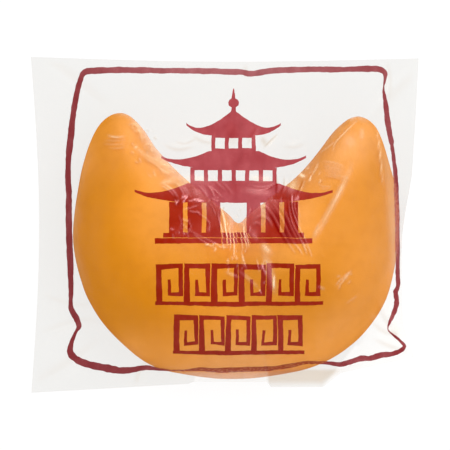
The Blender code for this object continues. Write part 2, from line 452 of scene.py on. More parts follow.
def ridge(plan, path, width):
    # one crease: its rise, and the painted shade on one of its flanks (1 on the line, -1 on its right
    # flank)
    x, y = plan[..., 0], plan[..., 1]
    nearest, place, side = np.full(x.shape, 1e3), np.zeros(x.shape), np.zeros(x.shape)
    shares, points = measured(path)
    for start, end, low, high in zip(points[:-1], points[1:], shares[:-1], shares[1:]):
        run = end - start
        length = hypot(*run)
        t = ((x - start[0]) * run[0] + (y - start[1]) * run[1]) / length ** 2
        t = np.clip(t, 0, 1)
        dx, dy = x - start[0] - t * run[0], y - start[1] - t * run[1]
        away = np.hypot(dx, dy)
        closer = away < nearest
        nearest = np.where(closer, away, nearest)
        side = np.where(closer, (dx * run[1] - dy * run[0]) / length, side)
        place = np.where(closer, low + t * (high - low), place)
    ends = np.sin(pi * np.clip(place, 0.02, 0.98)) ** 0.7
    rise = ends * np.exp(-(nearest / width) ** 2)
    shade = ends * np.exp(-((side - 1.5 * width) ** 2 + nearest ** 2 - side ** 2) / width ** 2)
    return rise, shade


def smoothPath(path):
    # the path rounded off through its points
    ends = [tuple(2 * np.array(path[0]) - path[1])] + list(path) + [
        tuple(2 * np.array(path[-1]) - path[-2])]
    points = []
    for before, here, after, beyond in zip(ends, ends[1:], ends[2:], ends[3:]):
        before, here, after, beyond = (np.array(p, float) for p in (before, here, after, beyond))
        for t in (0.0, 0.34, 0.67):
            points.append(here + 0.5 * (t * (after - before)
                                        + t ** 2 * (2 * before - 5 * here + 4 * after - beyond)
                                        + t ** 3 * (3 * here - before - 3 * after + beyond)))
    return points + [np.array(path[-1], float)]


def filmCreases():
    # every crease of the front panel: its path, rise, width, painted highlight and painted shade
    dice = random.Random(7)
    creases = [                                                 # gathers over the notch
        ([(-1.4, 2.6), (-1.0, 0.4), (-0.6, -1.0), (-0.4, -2.8)], 0.12, 0.14, 1.5, 0.5),
        ([(-1.1, 3.9), (-0.6, 2.7), (-0.15, 1.1), (0.1, -0.8), (0.35, -2.1), (0.6, -3.9)],
         0.18, 0.15, 2.6, 0.9),
        ([(-0.7, 2.4), (-0.4, 0.8), (-0.25, -1.4)], 0.10, 0.12, 0.7, 0.9),
        ([(0.4, 1.2), (0.5, -0.4), (0.7, -1.8)], 0.08, 0.12, 0.5, 0.6),
        ([(0.95, 0.9), (0.85, -0.8), (1.05, -2.0), (1.1, -3.4), (1.05, -5.0)], 0.12, 0.14, 1.5, 0.5),
        ([(1.45, -0.9), (1.7, -2.8), (1.8, -4.2), (1.75, -6.6)], 0.14, 0.14, 1.8, 0.5),
        ([(2.3, -1.2), (2.2, -2.6), (2.25, -4.0)], 0.10, 0.12, 0.9, 0.5),
        ([(3.0, -1.2), (3.3, -3.0), (3.5, -5.2)], 0.10, 0.13, 0.9, 0.5),
        ([(3.55, 0.5), (3.75, -1.4), (3.9, -2.3), (4.35, -4.6)], 0.14, 0.14, 1.9, 0.7),
        ([(4.1, -1.4), (4.4, -2.8), (4.75, -4.4)], 0.12, 0.13, 1.5, 1.0),
        ([(5.0, 0.0), (4.85, -1.6)], 0.10, 0.14, 1.2, 0.3),
        ([(-0.5, -3.3), (-0.2, -4.8)], 0.10, 0.13, 1.2, 0.3),
    ]
    creases += [                                                # fan over the right door leaves
        ([(7.9, 4.0), (9.3, 2.3), (10.2, 0.8), (11.1, -1.0), (12.0, -2.4), (12.8, -3.8)],
         0.24, 0.30, 0.35, 1.2),
        ([(8.8, 4.1), (10.2, 2.2), (11.2, 0.2), (12.3, -2.0), (13.0, -3.2)], 0.14, 0.16, 0.35, 1.1),
        ([(9.6, 4.2), (11.1, 1.7), (12.0, -0.2), (12.9, -2.1), (13.8, -3.6)], 0.24, 0.28, 0.3, 1.2),
        ([(10.4, 4.4), (11.8, 1.8), (12.7, -0.4), (13.8, -2.8)], 0.14, 0.15, 0.35, 1.0),
        ([(11.2, 3.8), (12.5, 1.2), (13.4, -1.0), (14.7, -3.4)], 0.24, 0.24, 0.4, 1.2),
        ([(5.6, 3.8), (7.4, 3.2), (8.0, 1.6)], 0.05, 1.30, 0.25, 0.0),
        ([(5.4, -0.8), (6.0, -2.6)], 0.05, 0.70, 0.5, 0.0),
        ([(12.6, 5.0), (12.9, 2.1), (13.6, -0.2), (14.7, -2.2), (15.8, -4.2)], 0.22, 0.17, 0.6, 1.1),
        ([(13.3, 6.6), (13.3, 4.8), (13.4, 3.0), (14.0, 1.2), (14.7, -0.6), (15.4, -2.0), (16.6, -4.4)],
         0.24, 0.16, 0.95, 1.2),
        ([(13.3, 6.1), (13.3, 4.3)], 0.10, 0.15, 2.0, 0.0),
        ([(13.95, 6.7), (13.8, 3.9), (14.3, 1.9), (15.0, -0.2)], 0.16, 0.15, 0.55, 0.9),
        ([(14.6, 5.6), (14.5, 3.2), (15.0, 1.4)], 0.12, 0.15, 0.6, 0.6),
        ([(6.0, 1.4), (7.0, 1.9), (8.2, 1.5), (9.0, 0.6), (9.4, -0.4)], 0.16, 0.24, 0.7, 0.5),
        ([(5.4, 0.2), (6.4, 0.5), (7.4, 0.0)], 0.12, 0.26, 0.45, 0.3),
        ([(6.8, 3.4), (7.8, 3.8), (8.8, 3.2)], 0.12, 0.22, 0.5, 0.5),
        ([(5.2, -1.6), (6.0, -2.4), (6.4, -3.2)], 0.14, 0.35, 0.5, 0.2),
        ([(13.4, -3.4), (14.4, -4.4), (15.4, -5.9)], 0.10, 0.13, 1.0, 0.5),
        ([(14.6, -2.6), (15.5, -3.9), (16.2, -5.8)], 0.10, 0.13, 1.1, 0.5),
        ([(12.4, -3.4), (13.2, -4.6), (13.9, -5.6)], 0.08, 0.14, 0.6, 0.4),
        ([(15.6, -3.4), (16.6, -4.8), (17.2, -6.4)], 0.08, 0.13, 0.7, 0.4),
    ]
    creases += [                                                # folds over the lowest roof
        ([(-12.6, 8.4), (-11.2, 7.6), (-10.1, 6.7), (-9.2, 5.4)], 0.14, 0.17, 1.5, 0.5),
        ([(-12.6, 7.8), (-11.2, 7.0), (-10.0, 5.8)], 0.12, 0.15, 1.2, 0.5),
        ([(-10.0, 8.7), (-8.9, 7.5), (-8.3, 6.4), (-8.0, 5.4)], 0.14, 0.16, 1.5, 0.6),
        ([(-9.1, 8.6), (-8.1, 7.1), (-7.3, 5.5)], 0.12, 0.15, 1.2, 0.5),
        ([(-8.3, 8.2), (-7.6, 7.0), (-6.8, 5.6)], 0.12, 0.14, 0.9, 0.4),
        ([(-5.3, 7.9), (-4.3, 6.9), (-3.4, 5.5)], 0.12, 0.16, 1.3, 0.5),
        ([(-4.7, 8.0), (-3.9, 7.0), (-3.3, 5.6)], 0.10, 0.13, 0.8, 0.4),
        ([(-3.5, 8.0), (-2.6, 6.9), (-2.0, 5.5)], 0.12, 0.16, 1.4, 0.5),
        ([(-3.1, 7.8), (-1.7, 6.7), (-0.5, 5.5)], 0.12, 0.15, 1.2, 0.5),
        ([(-2.8, 10.0), (-1.4, 8.3), (0.2, 6.9)], 0.10, 0.22, 0.5, 0.3),
        ([(-1.2, 9.2), (0.4, 7.6), (1.6, 6.2)], 0.10, 0.20, 0.4, 0.3),
        ([(-8.6, 9.4), (-5.4, 9.0), (-2.6, 8.8)], 0.10, 0.90, 0.8, 0.0),
        ([(-9.8, 7.8), (-7.6, 6.8), (-4.6, 6.6)], 0.05, 1.00, 0.12, 0.0),
        ([(11.4, 8.2), (13.4, 7.6), (15.4, 7.2)], 0.05, 0.90, 0.45, 0.0),
        ([(-12.6, 8.4), (-11.4, 8.6), (-10.0, 8.8)], 0.10, 0.45, 1.0, 0.0),
        ([(-6.4, 6.6), (-5.2, 6.2)], 0.08, 0.60, 0.5, 0.0),
        ([(4.6, 9.3), (7.0, 9.1), (9.6, 8.9)], 0.10, 0.80, 0.9, 0.0),
        ([(3.8, 7.0), (6.4, 6.6), (9.4, 6.4)], 0.10, 0.60, 1.1, 0.0),
        ([(5.0, 8.0), (6.6, 7.6), (8.4, 7.7), (10.4, 8.6)], 0.10, 0.22, 0.8, 0.6),
        ([(5.8, 6.9), (7.6, 7.0), (9.6, 7.9)], 0.08, 0.18, 0.7, 0.5),
        ([(3.2, 9.6), (3.4, 7.6), (3.6, 5.8)], 0.03, 1.00, 0.0, 0.25),
        ([(10.6, 9.8), (10.7, 7.8), (10.5, 6.0)], 0.12, 0.30, 0.2, 0.9),
        ([(13.9, 9.2), (13.5, 7.8), (12.6, 6.0)], 0.12, 0.60, 0.8, 0.3),
        ([(12.2, 9.4), (12.0, 7.6), (11.4, 6.2)], 0.10, 0.25, 0.5, 0.7),
        ([(15.8, 8.8), (15.3, 7.6), (14.6, 6.2)], 0.16, 0.20, 0.5, 1.5),
        ([(18.6, 7.9), (20.0, 7.6), (21.2, 7.7)], 0.05, 0.12, 0.5, 0.4),
        ([(18.8, 7.3), (20.0, 7.1), (20.9, 7.3)], 0.05, 0.12, 0.4, 0.4),
    ]
    creases += [                                                # facets over the two upper roofs
        ([(7.1, 19.6), (6.0, 17.4), (4.9, 15.2)], 0.12, 0.50, 0.32, 0.3),
        ([(10.8, 17.9), (9.4, 16.6), (8.0, 15.1)], 0.10, 0.22, 0.5, 0.6),
        ([(7.8, 18.0), (8.6, 16.8), (8.9, 15.8)], 0.05, 0.55, 0.0, 0.45),
        ([(11.6, 16.4), (13.6, 16.2), (15.6, 16.9)], 0.06, 0.45, 0.25, 0.2),
        ([(-6.2, 18.4), (-4.2, 17.2), (-1.8, 16.9)], 0.08, 0.40, 0.22, 0.3),
        ([(-11.8, 16.5), (-9.4, 15.6), (-6.4, 16.2)], 0.08, 0.40, 0.28, 0.3),
        ([(-9.8, 17.0), (-8.0, 16.6), (-6.0, 17.6)], 0.06, 0.30, 0.2, 0.3),
        ([(3.5, 21.0), (3.7, 15.6)], 0.02, 1.40, 0.0, 0.30),
    ]
    facets = [                                                  # crumple over the left door leaves
        ([(-7.0, 2.8), (-6.2, 2.6), (-5.1, 2.5)], 0.14, 0.20, 1.1, 0.5),
        ([(-5.5, 2.6), (-4.9, 2.1), (-3.8, 1.4), (-3.1, 0.4), (-3.0, -0.9)], 0.16, 0.20, 0.75, 0.6),
        ([(-3.4, -0.4), (-3.2, -1.4)], 0.10, 0.35, 0.7, 0.0),
        ([(-8.4, 1.1), (-7.3, 0.8), (-6.7, -0.2), (-7.2, -1.4)], 0.14, 0.30, 0.35, 0.7),
        ([(-9.1, -0.7), (-8.3, 0.2), (-7.4, -0.9)], 0.12, 0.24, 0.35, 0.6),
        ([(-9.0, 1.8), (-8.6, 0.4)], 0.10, 0.20, 0.4, 0.3),
        ([(-10.8, -0.7), (-10.2, -0.9)], 0.08, 0.25, 0.9, 0.0),
        ([(-7.2, -0.9), (-5.6, -1.8), (-3.9, -2.7), (-1.9, -3.7)], 0.16, 0.26, 0.5, 0.5),
        ([(-6.1, -1.9), (-4.6, -3.0), (-3.2, -3.8)], 0.12, 0.24, 0.5, 0.3),
        ([(-8.0, 3.2), (-6.8, 3.4), (-5.6, 3.9)], 0.10, 0.22, 0.5, 0.3),
        ([(-3.2, 4.4), (-2.4, 3.4), (-1.9, 2.2)], 0.10, 0.12, 0.8, 0.8),
        ([(-2.4, 4.6), (-1.8, 3.6)], 0.10, 0.12, 0.9, 0.6),
        ([(-2.2, -3.4), (-1.0, -4.3), (0.4, -4.4)], 0.12, 0.24, 1.0, 0.3),
        ([(-4.0, -3.6), (-2.6, -4.2)], 0.10, 0.22, 0.9, 0.3),
    ]
    for path, rise, width, shows, paintedShade in facets:
        for (x0, y0), (x1, y1) in zip(path, path[1:]):
            dx, dy = 0.15 * (x1 - x0), 0.15 * (y1 - y0)
            creases.append(([(x0 - dx, y0 - dy), (x1 + dx, y1 + dy)], rise, 0.8 * width,
                            shows * dice.uniform(0.6, 1.4), paintedShade))
    for k in range(5):
        x, y = -10.4 + 0.75 * k + dice.uniform(-0.25, 0.25), dice.uniform(-1.9, -0.6)
        creases.append(([(x - 0.1, y), (x + 0.05, y - dice.uniform(0.5, 1.4))], 0.06, 0.13,
                        dice.uniform(0.3, 0.9), 0.3))

    def glints(left, right, low, high, count, slant, shows, size=1.0):
        # short creases with painted glints, scattered over a patch
        for _ in range(count):
            x, y = dice.uniform(left, right), dice.uniform(low, high)
            turn = slant + dice.gauss(0, 0.45)
            half = size * dice.uniform(0.25, 0.65)
            dx, dy = half * cos(turn), half * sin(turn)
            creases.append(([(x - dx, y - dy), (x + 0.2 * dy, y - 0.2 * dx), (x + dx, y + dy)], 0.08,
                            dice.uniform(0.12, 0.18), shows * dice.uniform(0.4, 1.3),
                            dice.uniform(0.0, 0.7)))

    glints(-9.6, -6.6, -1.8, 1.2, 16, 1.25, 0.38, 0.5)          # over the left door leaves
    glints(-10.2, -7.6, 4.3, 5.7, 9, 1.3, 1.7)                  # under the lowest eaves
    glints(-7.8, -4.4, 4.7, 5.5, 8, 0.2, 2.2)
    glints(-4.6, -1.2, 4.8, 5.6, 4, 0.4, 0.9)
    glints(8.4, 14.6, 4.6, 5.9, 9, 1.4, 1.0)
    glints(-17.6, -9.6, 9.6, 13.6, 8, -0.8, 0.7)                # the horns' inner slopes
    glints(-18.4, -13.6, 14.0, 21.0, 12, -0.9, 0.6)
    glints(16.0, 19.0, 8.6, 12.0, 6, 1.0, 0.8)
    glints(-1.4, 5.2, -4.6, 4.0, 12, 1.5, 0.8)                  # about the gathers
    glints(0.4, 4.6, -9.0, -5.0, 14, 1.4, 0.7)
    glints(-3.8, 0.4, -4.9, -3.7, 6, 0.3, 1.1)
    glints(6.8, 9.6, -13.4, -7.0, 9, 1.5, 1.2)
    glints(22.0, 24.6, -12.6, -10.0, 4, 0.7, 0.7)
    for k in range(9):                                          # crinkles down the left horn's slope
        x, y = -18.2 + 1.05 * k, 20.2 - 1.35 * k
        creases.append(([(x - 1.0, y - 0.2), (x + 0.1, y - 0.1), (x + 1.2, y - 0.7)],
                        0.12, dice.uniform(0.16, 0.26), dice.uniform(0.3, 0.8),
                        dice.uniform(0.1, 0.5)))
    for k in range(7):                                          # short ripples on the right horn
        y = 12.6 - 0.48 * k
        x = dice.uniform(-0.6, 0.6)
        creases.append(([(19.8 + x, y + 0.1), (21.8, y - 0.3), (24.2 + x, y - 1.0)], 0.09, 0.15,
                        dice.uniform(0.3, 0.7), 0.4))
    for k in range(4):                                          # and on the left one
        y = 17.6 - 0.75 * k
        creases.append(([(-23.6 + dice.uniform(-0.6, 0.6), y), (-21.6, y - 0.1), (-19.6, y + 0.1)],
                        0.08, 0.22, 0.3, 0.3))
    creases += [                                                # on the two horns
        ([(-23.3, 17.9), (-22.2, 17.5), (-20.2, 17.4)], 0.14, 0.22, 0.9, 0.3),
        ([(-18.0, 15.7), (-17.4, 15.3)], 0.12, 0.32, 1.1, 0.0),
        ([(-18.2, 20.6), (-16.8, 18.1), (-16.4, 16.4)], 0.14, 0.20, 0.7, 0.3),
        ([(-17.6, 15.2), (-15.9, 13.9), (-14.6, 13.2), (-12.4, 12.1), (-10.6, 10.4)],
         0.20, 0.42, 0.7, 0.2),
        ([(-15.8, 13.2), (-13.6, 12.0), (-12.2, 10.6)], 0.14, 0.20, 0.7, 0.3),
        ([(-13.0, 11.4), (-12.0, 10.6), (-11.0, 10.2)], 0.12, 0.25, 0.9, 0.2),
        ([(26.4, 20.9), (23.7, 18.3), (21.9, 16.3), (21.5, 14.8)], 0.18, 0.14, 1.1, 0.5),
        ([(21.8, 16.6), (20.4, 15.4), (19.2, 14.6)], 0.12, 0.14, 0.6, 0.4),
        ([(18.6, 12.4), (17.8, 10.8), (17.2, 9.8)], 0.14, 0.20, 0.7, 0.3),
        ([(17.2, 9.6), (16.6, 8.6)], 0.14, 0.20, 1.2, 0.3),
        ([(14.7, 10.2), (15.3, 9.8), (16.0, 9.6)], 0.12, 0.30, 2.4, 0.0),
        ([(27.3, 19.3), (27.2, 17.0)], 0.14, 0.34, 0.8, 0.0),
        ([(25.6, 17.4), (24.2, 15.8)], 0.12, 0.90, 0.5, 0.0),
        ([(30.3, 19.4), (30.8, 15.6), (31.1, 12.1), (31.4, 7.8)], 0.24, 0.15, 1.2, 0.3),
        ([(31.9, 15.4), (32.7, 8.0), (33.2, -1.0), (33.2, -8.0)], 0.10, 0.70, 0.45, 0.0),
        ([(25.2, 12.0), (24.2, 9.6), (23.0, 7.2), (21.6, 4.6), (20.2, 2.0), (18.8, -0.5), (17.3, -2.9)],
         0.46, 0.50, 0.85, 0.1),
        ([(23.6, 8.4), (22.8, 6.6), (21.6, 4.2)], 0.20, 0.40, 0.6, 0.0),
        ([(18.6, 0.3), (17.5, -2.3)], 0.15, 0.30, 0.6, 0.0),
    ]
    creases += [                                                # under the gathers
        ([(7.4, -3.6), (8.2, -4.8), (9.0, -5.6)], 0.20, 0.55, 1.5, 0.2),
        ([(7.7, -5.4), (8.6, -8.0), (9.2, -10.6), (9.8, -13.2)], 0.20, 0.60, 0.9, 0.1),
        ([(9.7, -9.8), (9.6, -12.8)], 0.14, 0.16, 2.2, 0.4),
        ([(7.3, -7.6), (7.9, -9.6)], 0.12, 0.15, 1.6, 0.3),
        ([(6.3, -6.8), (6.8, -9.2)], 0.10, 0.14, 1.0, 0.3),
        ([(3.2, -5.2), (3.7, -7.0), (4.3, -8.8)], 0.10, 0.14, 1.0, 0.3),
        ([(0.2, -9.3), (1.4, -9.8), (2.8, -10.3)], 0.10, 0.24, 0.9, 0.2),
        ([(2.4, -8.8), (4.4, -10.4), (6.6, -12.4)], 0.10, 0.30, 0.5, 0.3),
        ([(22.4, -12.1), (23.2, -11.3), (24.3, -9.9), (25.0, -9.0)], 0.14, 0.18, 1.0, 0.3),
        ([(21.9, -12.0), (22.8, -10.9), (24.0, -10.1)], 0.12, 0.16, 0.8, 0.3),
        ([(23.4, -10.2), (24.5, -9.6), (25.2, -9.8)], 0.10, 0.16, 0.9, 0.2),
        ([(18.2, -12.1), (19.8, -12.7)], 0.10, 0.16, 0.9, 0.2),
        ([(24.0, -15.6), (26.4, -14.0)], 0.10, 0.2, 0.3, 0.2),
    ]
    creases += [                                                # in the margins
        ([(5.0, 33.0), (5.2, 29.4)], 0.6, 0.6, 0.15, 0.2),
        ([(-24.0, -20.5), (-29.5, -20.0), (-36.8, -22.6)], 0.3, 0.6, 0.2, 0.1),
        ([(-26.0, -17.0), (-31.0, -16.6), (-37.0, -15.0)], 0.4, 0.6, 0.1, 0.1),
        ([(-14.0, -27.0), (-16.2, -29.6), (-17.0, -33.0)], 0.6, 0.6, 0.2, 0.2),
        ([(-24.0, -24.0), (-31.0, -29.0), (-38.0, -33.0)], 0.7, 1.0, 0.1, 0.1),
        ([(-24.0, 22.0), (-31.0, 28.0), (-38.2, 33.0)], 0.6, 1.1, 0.1, 0.1),
        ([(28.0, 22.0), (33.0, 28.0), (38.0, 32.6)], 0.6, 1.1, 0.1, 0.1),
        ([(32.0, 25.0), (32.4, 29.0), (31.6, 33.0)], 0.8, 0.45, 0.2, 0.2),
        ([(31.0, -15.0), (33.6, -19.6), (36.8, -24.4)], 1.2, 0.6, 0.4, 0.3),
        ([(29.0, -18.0), (32.6, -20.8), (36.0, -20.6)], 1.0, 0.5, 0.4, 0.3),
        ([(30.0, -22.0), (33.6, -23.6), (37.2, -24.6)], 0.8, 0.5, 0.3, 0.3),
        ([(23.0, -26.8), (27.6, -27.6), (34.0, -27.2)], 0.6, 0.5, 0.3, 0.2),
    ]
    return creases


def addPanel(bm, plan, heights, marks):
    # a grid laid on the plan, with its marks written to the vertices
    rows, columns = heights.shape
    layers = [(bm.verts.layers.float.new(name), field) for name, field in marks.items()]
    made = bmesh.ops.create_grid(bm, x_segments=columns - 1, y_segments=rows - 1, size=1.0)
    for v in made["verts"]:
        i = round((v.co.x + 1) / 2 * (columns - 1))
        j = round((v.co.y + 1) / 2 * (rows - 1))
        v.co = (*plan[j, i], heights[j, i])
        for layer, field in layers:
            v[layer] = field[j, i]


def noiseField(plan, size, seed, fractal):
    field = np.zeros(plan.shape[:2])
    for j, i in np.ndindex(field.shape):
        spot = Vector((plan[j, i, 0] / size[0], plan[j, i, 1] / size[1], seed))
        field[j, i] = fractal(spot)
    return field


def filmHazeAndSheen(plan, steep, onCookie):
    # how much white the film scatters, its own haze with painted sheen: hardly any where it lies tight on
    # the cookie's flanks
    x, y = plan[..., 0], plan[..., 1]
    warp = 2.2 * noiseField(plan, (7.0, 7.0), 5.5, noise.noise)
    turned = np.stack([x * 0.94 + y * 0.34 + warp, y * 0.94 - x * 0.34], axis=-1)
    streaks = noiseField(turned, (0.9, 7.0), 1.5, noise.noise)
    clouds = noiseField(turned, (4.0, 9.0), 8.5, noise.noise)
    hazeAndSheen = np.where(onCookie, 0.0015 + 0.006 * smoothStep(2.0, 14.0, y), 0.012)
    hazeAndSheen *= 1 + 0.45 * streaks + 0.55 * clouds
    # painted sheen where the film turns steep over the cookie, along the bottom band and at the right edge
    rims = smoothStep(0.35, 0.95, steep) * (1 + 0.5 * streaks)
    hazeAndSheen += rims * np.where((x > 9) & (x < 25) & (y > 5), 0.03, 0.20)
    hazeAndSheen += 0.16 * smoothStep(-28.6, -30.0, y) * smoothStep(-12, -4, x) * (1 - smoothStep(16, 22, x))
    hazeAndSheen += 0.10 * smoothStep(32.8, 34.6, x) * (1 - smoothStep(9, 13, y)) * onCookie
    return np.clip(hazeAndSheen, 0.001, 0.5)


def filmCookieReflection(plan):
    # painted reflection: the short flap under the cookie takes some of its colour
    x, y = plan[..., 0], plan[..., 1]
    return 0.60 * smoothStep(-28.6, -29.2, y) * smoothStep(8.0, 9.0, x)


def filmClarity(plan):
    # 1 towards the lower right corner and in the middle of the lower edge, where it is clearest
    x, y = plan[..., 0], plan[..., 1]
    clear = smoothStep(0.0, 2.5, 0.935 * (x - 35.0) - 0.356 * (y - 1.5))
    clear = np.maximum(clear, smoothStep(0.0, 0.5, x - 19.4 - 0.78 * (y + 32.2)) * (y < -24.0))
    middle = smoothStep(-6.4, -5.8, x) * (1 - smoothStep(8.4, 8.9, x))
    return np.maximum(clear, middle * smoothStep(-29.8, -30.2, y))


def creaseFields(plan):
    # what the creases do over a panel: how far they rise, and their painted highlight and painted shade
    raised, white, shaded = (np.zeros(plan.shape[:2]) for _ in range(3))
    for path, height, width, shows, paintedShade in filmCreases():
        path = smoothPath(path)
        low, high = np.min(path, axis=0) - 4 * width, np.max(path, axis=0) + 4 * width
        near = np.all((plan > low) & (plan < high), axis=2)
        rise, shade = ridge(plan[near], path, width)
        raised[near] += height * rise
        white[near] += shows * rise
        shaded[near] += paintedShade * shade
    return raised, white, shaded


def inkMark(plan, printTree):
    # 1 where print lies behind the film
    inked = np.zeros(plan.shape[:2])
    for j, i in np.ndindex(inked.shape):
        if printTree.ray_cast(Vector((*plan[j, i], 1.0)), Vector((0, 0, -1)))[0]:
            inked[j, i] = 1.0
    return inked


def crumpled(plan, size, seed):
    field = noiseField(plan, (size, size), seed,
                       lambda spot: noise.ridged_multi_fractal(spot, 0.9, 2.2, 3, 0.9, 1.8))
    return field - field.min()


def edgeFade(across, upwards, width):
    # 0 on the panel's edges, 1 inside them
    u, v = np.meshgrid(across, upwards)
    return smoothStep(0.0, width, np.minimum(np.minimum(u, 1 - u), np.minimum(v, 1 - v)))


def frontPanel(tree, printTree, middle, drape, material):
    # the front of the pack, and a search tree of its smooth form for the print
    s = filmSizes
    across = gridShares(s["frontCells"][0], s["fineAcross"])
    upwards = gridShares(s["frontCells"][1], s["fineUpwards"])
    plan = panelPlan(across, upwards)
    reach, steep = reachOf(tree, plan, middle, 1)
    rim = marginLift(across, upwards) + s["halfGap"]
    base = pinned(np.maximum(resampled(drape, across, upwards), reach), rim)
    base = relaxed(base, reach, s["lastRounds"][0])
    onCookie = np.isfinite(reach)
    slack = smoothStep(0.0, 3.0, np.where(onCookie, base - reach, 9.0))     # 1 where it hangs free
    raised, white, shaded = creaseFields(plan)
    size, seed, tight, loose = s["frontCrumple"]
    still = edgeFade(across, upwards, 0.025)
    heights = base + still * (raised + crumpled(plan, size, seed) * (tight + loose * slack))
    bm = bmesh.new()
    addPanel(bm, plan, middle + heights, {
        # painted highlight along the creases
        "creaseGlint": np.clip(white, 0, 3) * still,
        # painted shade on the creases' dark flanks, plus the flap's painted reflection of the cookie
        "shade": np.clip(shaded - 0.6 * white + filmCookieReflection(plan), 0, 1) * still,
        "hazeAndSheen": filmHazeAndSheen(plan, steep, onCookie),
        "inked": inkMark(plan, printTree),
        "clear": filmClarity(plan)})
    under = bmesh.new()
    addPanel(under, plan, middle + base, {})
    baseTree = BVHTree.FromBMesh(under)
    under.free()
    return finished(bm, "film", material), baseTree


def backPanel(tree, middle, drape, material):
    s = filmSizes
    evenly = [np.linspace(0, 1, n + 1) for n in s["backCells"]]
    plan = panelPlan(*evenly)
    reach = reachOf(tree, plan, middle, -1)[0]
    rim = s["halfGap"] - marginLift(*evenly)
    low = pinned(np.maximum(resampled(drape, *evenly), reach), rim)
    low = relaxed(low, reach, s["lastRounds"][1])
    size, seed, depth = s["backCrumple"]
    low += edgeFade(*evenly, 0.03) * depth * crumpled(plan, size, seed)
    bm = bmesh.new()
    flat = np.zeros(low.shape)
    addPanel(bm, plan, np.maximum(middle - low, 0.0), {
        "creaseGlint": flat, "shade": flat, "hazeAndSheen": flat + 0.01, "inked": flat,
        "clear": filmClarity(plan)})
    bmesh.ops.reverse_faces(bm, faces=bm.faces[:])
    return finished(bm, "filmBack", material)


def makeFilm(tree, printTree, middle, material):
    s = filmSizes
    across, upwards = (np.linspace(0, 1, n + 1) for n in s["drapeCells"])
    plan, lift = panelPlan(across, upwards), marginLift(across, upwards)
    front = draped(reachOf(tree, plan, middle, 1)[0], s["halfGap"] + lift)
    back = draped(reachOf(tree, plan, middle, -1)[0], s["halfGap"] - lift)
    film, baseTree = frontPanel(tree, printTree, middle, front, material)
    return film, backPanel(tree, middle, back, material), baseTree


filmLook = dict(
    tint=(0.930, 0.928, 0.920, 1),
    clearTint=(0.985, 0.985, 0.98, 1),
    # painted shade tints of the creases' dark flanks, over the cookie and over print; the first also gives
    # the flap its painted reflection of the cookie
    shadeTint=(0.74, 0.60, 0.45, 1),
    inkShade=(0.74, 0.30, 0.28, 1),
    white=(0.95, 0.93, 0.90, 1),        # what it scatters: flat, then in its creases and over ink as painted highlight
    glintTint=(0.96, 0.72, 0.42, 1),
    inkSheen=(0.92, 0.34, 0.34, 1),
    gloss=(0.006, 0.30),        # reflected straight on and at grazing angles
    roughness=0.26,
    streakGloss=0.03,
    glintWhite=0.24,
    steepWhite=0.12,
)


def filmMaterial():
    look = filmLook
    mat, nodes, links, shader = shaderOf("clearFilm")
    creaseGlint, shade, hazeAndSheen, inked, clear = (
        markOf(nodes, name) for name in ("creaseGlint", "shade", "hazeAndSheen", "inked", "clear"))
    through = nodes.new("ShaderNodeBsdfTransparent")
    # what shows through is darkened by painted shade and tinted by the flap's painted reflection
    plain = mixNode(nodes, links, clear, look["tint"], look["clearTint"])
    paintedShade = mixNode(nodes, links, inked, look["shadeTint"], look["inkShade"])
    links.new(mixNode(nodes, links, shade, plain, paintedShade), through.inputs["Color"])
    facing = nodes.new("ShaderNodeLayerWeight")
    facing.inputs["Blend"].default_value = 0.5
    steep = mathNode(nodes, links, "POWER", facing.outputs["Facing"], 4.0)
    gloss = rangeNode(nodes, links, steep, 0.0, 1.0, *look["gloss"])
    gloss = mathNode(nodes, links, "ADD", gloss,
                     mathNode(nodes, links, "MULTIPLY", creaseGlint, look["streakGloss"]))
    slope = mathNode(nodes, links, "POWER", facing.outputs["Facing"], 2.0)
    # the scattered white: haze with painted sheen, more of it at grazing angles
    veil = mathNode(nodes, links, "ADD", hazeAndSheen,
                    mathNode(nodes, links, "MULTIPLY", slope, look["steepWhite"]))
    # painted highlight along the creases, added to the scattered white
    white = mathNode(nodes, links, "ADD", veil,
                     mathNode(nodes, links, "MULTIPLY", creaseGlint, look["glintWhite"]))
    white = mathNode(nodes, links, "MULTIPLY", white,
                     rangeNode(nodes, links, shade, 0.0, 1.0, 1.0, 0.15))
    total = mathNode(nodes, links, "ADD", gloss, white)
    # painted highlight colour: peach along the creases, pink over the print
    glow = mixNode(nodes, links, rangeNode(nodes, links, creaseGlint, 0.0, 0.5, 0.0, 0.8),
                   look["white"], look["glintTint"])
    links.new(mixNode(nodes, links, inked, glow, look["inkSheen"]), shader.inputs["Base Color"])
    shader.inputs["Roughness"].default_value = look["roughness"]
    links.new(mathNode(nodes, links, "DIVIDE", gloss, total), shader.inputs["Metallic"])
    mix = nodes.new("ShaderNodeMixShader")
    links.new(total, mix.inputs["Fac"])
    links.new(through.outputs["BSDF"], mix.inputs[1])
    links.new(shader.outputs["BSDF"], mix.inputs[2])
    links.new(mix.outputs["Shader"], nodes["Material Output"].inputs["Surface"])
    return mat


